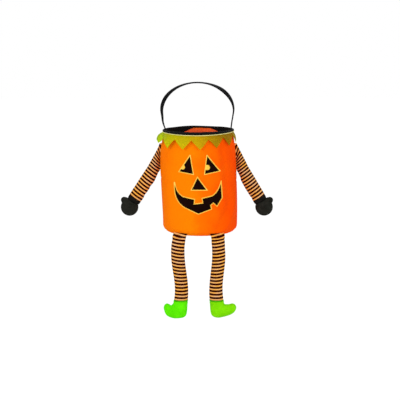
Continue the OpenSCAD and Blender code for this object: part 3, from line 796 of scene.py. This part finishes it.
# Sleeves: tubes of striped jersey stuffed with fibre. The top of each is pressed flat and caught upright in
# the bag's side seam, so the jersey bunches under the arm and swells to a round section below.
def sweep(rings, sides):
    """A closed tube through rings, each a centre and its two half axes."""
    places = [Matrix.Translation(c) @ Matrix((u, v, u.cross(v).normalized())).transposed().to_4x4()
              for c, u, v in rings]
    bm = bmesh.new()
    bmesh.ops.create_circle(bm, cap_ends=True, segments=sides, radius=1, matrix=places[0])
    edges = bm.edges[:]
    for before, after in zip(places, places[1:]):
        ring, edges = grown_from(bm, edges)
        bmesh.ops.transform(bm, matrix=after @ before.inverted(), verts=ring)
    bmesh.ops.contextual_create(bm, geom=edges)
    bmesh.ops.recalc_face_normals(bm, faces=bm.faces)
    return bm


def mirrored(bm, side):
    """The right-hand piece as it is, or turned over for the left."""
    if side == "left":
        bmesh.ops.scale(bm, vec=(-1, 1, 1), verts=bm.verts)
        bmesh.ops.reverse_faces(bm, faces=bm.faces)
    return bm


def smoothed(made):
    """Rounds off the flat faces of a knitted or stuffed piece."""
    smooth = made.modifiers.new("smooth", "SUBSURF")
    smooth.levels = smooth.render_levels = 1


def stuffed(made, sewn, pressure, cap, slack):
    """Fills a cover: cloth with air in it, held where it is sewn, and moved no further than the cap."""
    last_frame = 20
    scene = bpy.context.scene
    made.vertex_groups.new(name="sewn").add(sewn, 1, "REPLACE")
    cloth = made.modifiers.new("filling", "CLOTH")
    cloth.settings.quality = 6
    cloth.settings.mass = 0.2
    cloth.settings.bending_stiffness = 0.3
    cloth.settings.use_pressure = True
    cloth.settings.uniform_pressure_force = pressure
    cloth.settings.shrink_min = -slack
    cloth.settings.vertex_group_mass = "sewn"
    cloth.settings.effector_weights.gravity = 0
    cloth.collision_settings.use_collision = False
    cloth.point_cache.frame_start = 1
    cloth.point_cache.frame_end = last_frame
    for step in range(1, last_frame + 1):
        scene.frame_set(step)
    filled = made.evaluated_get(bpy.context.evaluated_depsgraph_get())
    for v, after in zip(made.data.vertices, [w.co.copy() for w in filled.data.vertices]):
        way = after - v.co
        v.co += way * min(1, cap / max(way.length, 1e-9))
    made.modifiers.remove(cloth)
    made.vertex_groups.clear()
    scene.frame_set(1)
    smoothed(made)


# Striped jersey: weft knit in two yarns, black-brown for 5.1 mm and orange for 3.5 mm, its loops drawn as
# fine chevrons 1.4 mm apart. The attribute course counts metres along the limb, and wale those around it.
jersey, tree, shader, where = material_of("striped_jersey")
course = add(tree, "Attribute", attribute_name="course").outputs["Fac"]
stripe_pitch, loop_height, loop_width = 0.0086, 0.0014, 0.0009
band = reckon(tree, "FRACT", reckon(tree, "MULTIPLY", course, 1 / stripe_pitch))
wear = add(tree, "TexNoise", {"Vector": where, "Scale": 55, "Detail": 3})
orange = ramp(tree, wear.outputs["Fac"], (0.35, "#F8AC42"), (0.65, "#EAB27A"))
stripe = ramp(tree, band, (0, "#000000"), (0.02, "#FFFFFF"), (0.6, "#FFFFFF"), (0.63, "#000000"),
              (0.98, "#000000"))
yarns = add(tree, "Mix", {0: stripe, 6: orange, 7: linear("#330400")}, data_type="RGBA")
loops = reckon(tree, "MULTIPLY", course, 2 * math.pi / loop_height)
wale = add(tree, "Attribute", attribute_name="wale").outputs["Fac"]
legs = reckon(tree, "PINGPONG", wale, loop_width)
legs = reckon(tree, "MULTIPLY", legs, math.pi / loop_width)
loops = reckon(tree, "SINE", reckon(tree, "ADD", loops, legs))
knit = add(tree, "Bump", {"Height": loops, "Strength": 0.3, "Distance": 0.0003})
put(tree, shader, {"Base Color": yarns.outputs[2], "Normal": knit.outputs["Normal"], "Roughness": 0.85,
                   "Specular IOR Level": 0.01, "Sheen Weight": 0.01})

lean = math.radians(31)
shoulder = Vector((0.0957, 0, 0.18))
arm_axis = Vector((math.sin(lean), 0, -math.cos(lean)))
arm_out = Vector((math.cos(lean), 0, math.sin(lean)))
root_length, sleeve_length = 0.0319, 0.115
around_limb, limb_radius = 40, 0.0146
tape_half = 0.0006


def hung(bm, side):
    """One arm of the pair: the left hangs a little further out than the right and 4 mm lower."""
    swing = math.radians(-1.3 if side == "left" else 1.2)
    shorter = 0 if side == "left" else 0.004
    for v in bm.verts:
        out = ease((v.co.x - shoulder.x) / 0.02)
        v.co -= arm_axis * shorter * ease((v.co - shoulder).dot(arm_axis) / sleeve_length) * out
        v.co = shoulder + Matrix.Rotation(swing * out, 3, "Y") @ (v.co - shoulder)
    return mirrored(bm, side)


def sleeve_ring(run, swell=0):
    """Centre and half axes of the sleeve, which the seam pinches a little under the arm."""
    pinch = 0.0014 * (1 - ease((run - root_length) / 0.03))
    return (shoulder + run * arm_axis + pinch * arm_out, arm_out * (0.01675 + swell - pinch),
            Vector((0, 0.0125 + swell, 0)))


def sewn_ends(bm):
    """The points of a limb's tube that are held: the flat rings in the seam and the last two rings."""
    return list(range(4 * around_limb)) + list(range(len(bm.verts) - 2 * around_limb, len(bm.verts)))


flat = Vector((0, 0, 0.033))
thin = Vector((0, tape_half, 0))
root = shoulder + Vector((0, 0, 0.007))
for side, sign in (("left", -1), ("right", 1)):
    rings = [(Vector((x, 0, root.z)), flat, thin) for x in (0.0852, 0.090, 0.094)]
    end = sleeve_ring(root_length)
    for f in (0, 0.05, 0.11, 0.18, 0.26, 0.35, 0.45, 0.56, 0.68, 0.8, 0.9):
        fat = math.sin(math.pi / 2 * f)
        rings.append((root.lerp(end[0], f), flat.lerp(end[1], f), thin.lerp(end[2], fat)))
    for i in range(29):
        t = i / 28
        run = root_length + (sleeve_length - root_length) * t
        rings.append(sleeve_ring(run, 0.0006 * math.sin(math.pi * t)))
    rings.append(sleeve_ring(0.117, -0.0008))
    bm = sweep(rings, around_limb)
    course = bm.verts.layers.float.new("course")
    wale = bm.verts.layers.float.new("wale")
    for v in bm.verts:
        out = max(0, v.co.x - shoulder.x)
        gather = math.exp(-out / 0.010) * bell(v.co.z - 0.186, 0.022)
        away = v.co - shoulder
        v[wale] = limb_radius * abs(math.atan2(v.co.y, away.dot(arm_out)))
        v[course] = 1.06 * (away.dot(arm_axis) + 0.09 * away.dot(arm_out)) - 0.013 * gather + 0.1805
        v.co.y *= 1 + 0.4 * gather * math.sin(v[course] * 2 * math.pi / 0.006)
        room = tape_half + out / math.tan(math.radians(43))
        v.co.y = max(-room, min(room, v.co.y))
    sewn = sewn_ends(bm)
    sleeve = piece("sleeve_" + side, hung(bm, side), jersey)
    stuffed(sleeve, sewn, pressure=4, cap=0.0014, slack=0.04)
    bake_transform(sleeve)
    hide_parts(side + "_sleeve", side + "_sleeve_end")


# Cuffs: short tubes of black rib knit, sewn to the ends of the sleeves, which they close, and to the mittens.
# Rib knit: upright ribs, matt, almost black.
rib_knit = felt_of("black_rib_knit", "#0D0B0A", "#1C1917")
cuff_length, rib_depth = 0.011, 0.0005
shape = ((0, -0.0006), (0.06, 0.0001), (0.2, 0.0003), (0.45, 0.0002), (0.7, 0), (0.9, -0.0005), (1, -0.0012))
for side in ("left", "right"):
    bm = sweep([sleeve_ring(sleeve_length + share * cuff_length, swell) for share, swell in shape], 88)
    for i, v in enumerate(bm.verts):
        centre = shoulder + arm_axis * (v.co - shoulder).dot(arm_axis)
        if i % 2:
            v.co += (centre - v.co).normalized() * rib_depth
    cuff = piece("cuff_" + side, hung(bm, side), rib_knit)
    smoothed(cuff)
    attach(cuff, side + "_arm")
    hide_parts(side + "_cuff")


# Mittens: two rounds of black fleece each, sewn edge to edge round palm and thumb, turned and stuffed. The
# open wrist is sewn to the cuff.
def pillow(outline, half_depth, top):
    """Two pieces of cloth sewn edge to edge round an outline, with a standing seam and a flat open top."""
    bm = bmesh.new()
    verts = [bm.verts.new((x, 0, z)) for x, z in outline]
    edges = [bm.edges.new(pair) for pair in zip(verts, verts[1:] + verts[:1])]
    steps = [(1, 0), (0.962, 0.07)] + [(math.cos(math.radians(t)), math.sin(math.radians(t)))
                                       for t in (13, 25, 38, 51, 64, 76, 85)]
    for (wide, deep), (wide_next, deep_next) in zip(steps, steps[1:]):
        ring, edges = grown_from(bm, edges)
        bmesh.ops.scale(bm, vec=(wide_next / wide, 1, wide_next / wide), verts=ring)
        bmesh.ops.translate(bm, vec=(0, half_depth * (deep - deep_next), 0), verts=ring)
    bmesh.ops.contextual_create(bm, geom=edges)
    bmesh.ops.mirror(bm, geom=bm.verts[:] + bm.edges[:] + bm.faces[:], merge_dist=1e-6, axis="Y")
    bmesh.ops.bisect_plane(bm, geom=bm.verts[:] + bm.edges[:] + bm.faces[:], dist=1e-6,
                           plane_co=(0, 0, top), plane_no=(0, 0, 1), clear_outer=True)
    bmesh.ops.holes_fill(bm, edges=[e for e in bm.edges if e.is_boundary], sides=0)
    bmesh.ops.recalc_face_normals(bm, faces=bm.faces)
    return bm


# Fleece: a short brushed pile, soft and matt, a little greyer than the cuff.
fleece = felt_of("black_fleece", "#171713", "#282823")


def far_side(x, z, radius, a):
    """How far out a circle reaches at an angle from the middle of the palm."""
    turn = a - math.atan2(z, x)
    inside = radius ** 2 - (math.hypot(x, z) * math.sin(turn)) ** 2
    if inside <= 0 or math.cos(turn) <= 0:
        return 0
    return math.hypot(x, z) * math.cos(turn) + math.sqrt(inside)


palm_radius, palm_run, wrist = 0.0215, 0.1425, 0.0165
palm = []
for i in range(90):
    a = math.radians(4 * i)
    out = 1.035 * max(palm_radius, far_side(0.0205, 0.0075, 0.008, a), far_side(0.015, 0.0135, 0.005, a))
    palm.append((out * math.cos(a), out * math.sin(a)))
for side in ("left", "right"):
    bm = pillow(palm, 0.0125, wrist)
    sewn = [i for i, v in enumerate(bm.verts) if v.co.z > wrist - 0.0001 or abs(v.co.y) < 0.001]
    place = Matrix.Translation(shoulder + palm_run * arm_axis) @ Matrix.Rotation(-lean, 4, "Y")
    bmesh.ops.transform(bm, matrix=place, verts=bm.verts)
    mitten = piece("mitten_" + side, hung(bm, side), fleece)
    stuffed(mitten, sewn, pressure=3, cap=0.0015, slack=0.03)
    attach(mitten, side + "_arm")
    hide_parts(side + "_hand")


# Legs: long tubes of the same striped jersey, stuffed, their flat tops caught in the base seam in front.
# They hang with a slight bow out and in again.
hip = Vector((0.045469, -0.075674, 0.004716))
from_axis = Vector((math.sin(lean), -math.cos(lean), 0))
leg_length = 0.164


def leg_centre(run):
    """The middle of the leg at a length below the hip, bowed out and in again."""
    return hip + Vector((0.004 * math.sin(2 * math.pi * run / 0.188), 0, -run))


def dangled(bm, side):
    """One leg of the pair: its root follows the slack wall, and the right one hangs a little wider."""
    mirrored(bm, side)
    sign = -1 if side == "left" else 1
    out = Vector((sign * math.sin(lean), -math.cos(lean), 0))
    for v in bm.verts:
        run = hip.z - v.co.z
        v.co += out * out.x * hang(0) * (1 - ease(run / 0.03))
        v.co.x += 0.0022 * ease(run / 0.15) if side == "right" else 0
    return bm


def leg_ring(run, swell=0):
    """Centre and half axes of the leg, which turns from its seam to face the front."""
    turn = lean * (1 - min(1, run / 0.04))
    half_width = 0.0195 - 0.0028 * min(1, run / 0.015)
    half_depth = min(0.0125, tape_half + run)
    return (leg_centre(run), Vector((math.cos(turn), math.sin(turn), 0)) * (half_width + swell),
            Vector((-math.sin(turn), math.cos(turn), 0)) * (half_depth + swell))


for side, sign in (("left", -1), ("right", 1)):
    rings = []
    for inside in (0.0085, 0.0045, 0.0014):
        rings.append((hip + (Vector((0, 0, 1)) - from_axis) * inside * math.sqrt(0.5),
                      Vector((math.cos(lean), math.sin(lean), 0)) * 0.0193,
                      (Vector((0, 0, 1)) + from_axis) * -0.0004))
    for run in (0, 0.0015, 0.003, 0.005, 0.007, 0.0095, 0.012, 0.015, 0.0175):
        rings.append(leg_ring(run))
    rings += [leg_ring(0.02 + 0.144 * i / 46, 0.0004 * math.sin(math.pi * i / 46)) for i in range(47)]
    rings.append(leg_ring(0.1655, -0.001))
    bm = sweep(rings, around_limb)
    course = bm.verts.layers.float.new("course")
    wale = bm.verts.layers.float.new("wale")
    for v in bm.verts:
        run = hip.z - v.co.z
        slope = 0.15 * (1 - ease((run - 0.06) / 0.1))
        off_centre = v.co.x - leg_centre(run).x
        v[wale] = limb_radius * abs(math.atan2(v.co.y - hip.y, off_centre))
        v[course] = 1.02 * run + slope * off_centre + 0.01422
    sewn = sewn_ends(bm)
    leg = piece("leg_" + side, dangled(bm, side), jersey)
    stuffed(leg, sewn, pressure=4, cap=0.0014, slack=0.04)
    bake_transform(leg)
    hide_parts(side + "_leg", side + "_leg_end")


# Boot hems: the boots' top edges, bound with a narrow tape of darker green and sewn round the ends of the
# legs.
# Hem tape: soft brushed cotton, matt, with an uneven dye.
green_tape = felt_of("green_hem_tape", "#3FA80A", "#55BE14")
hem_height = 0.0025
hem_shape = ((0, -0.001), (0.0001, 0.0004), (0.0007, 0.0009), (0.00125, 0.001), (0.0018, 0.0009),
             (hem_height, 0.0004))
for side in ("left", "right"):
    rings = []
    for down, swell in hem_shape:
        c, u, v = leg_ring(leg_length, swell)
        rings.append((c - Vector((0, 0, down)), u, v))
    hem = piece("boot_hem_" + side, dangled(sweep(rings, 64), side), green_tape)
    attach(hem, side + "_leg")
    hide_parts(side + "_boot_hem")


# Boots: two pieces of lime fleece each, sewn round a curled outline, turned and stuffed. The left toe curls
# higher and the right one is longer.
# Lime fleece: a short brushed pile, bright and matt; the right boot's dye is a little yellower.
def boot_outline(toe, rise, dip, deep):
    """The boot's outline in millimetres from the middle of its ankle, as a smooth closed curve."""
    points = [Vector(p) for p in (
        (-17, 12), (-16.5, -8), (-14.5, 12 - deep), (-8.5, 3 - deep), (5, -deep),
        (toe - 22, rise - deep), (toe - 6.5, rise + 7.5 - deep), (toe, -20), (toe - 2, -11),
        (toe - 8, -7.5), (toe - 17, -7.5 - dip), (22, -9.5), (18.5, -4.5), (17, 12))]
    n, made = len(points), []
    for i in range(n):
        four = points[i - 1], points[i], points[(i + 1) % n], points[(i + 2) % n]
        made += [between(*four, t) for t in (0, 0.2, 0.4, 0.6, 0.8)]
    return made


middle_x, boot_top = 0.010, 0.027
for side, toe, rise, dip, deep, dark, light in (
    ("left", 43, 0.5, 4.5, 44, "#4EDC00", "#66F208"),
    ("right", 49.5, 5, 1.5, 42.5, "#70D000", "#86E40A"),
):
    outline = [((p.x - 10) / 1000, (p.y + 27) / 1000) for p in boot_outline(toe, rise, dip, deep)]
    bm = pillow(outline, 0.015, boot_top)
    sewn = [i for i, v in enumerate(bm.verts) if v.co.z > boot_top - 0.0001 or abs(v.co.y) < 0.0012]
    ankle = leg_centre(leg_length) - Vector((0, 0, hem_height))
    bmesh.ops.translate(bm, vec=ankle + Vector((middle_x, 0, -boot_top)), verts=bm.verts)
    boot = piece("boot_" + side, dangled(bm, side), felt_of("lime_fleece_" + side, dark, light))
    stuffed(boot, sewn, pressure=3, cap=0.0015, slack=0.03)
    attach(boot, side + "_leg")
    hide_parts(side + "_boot")
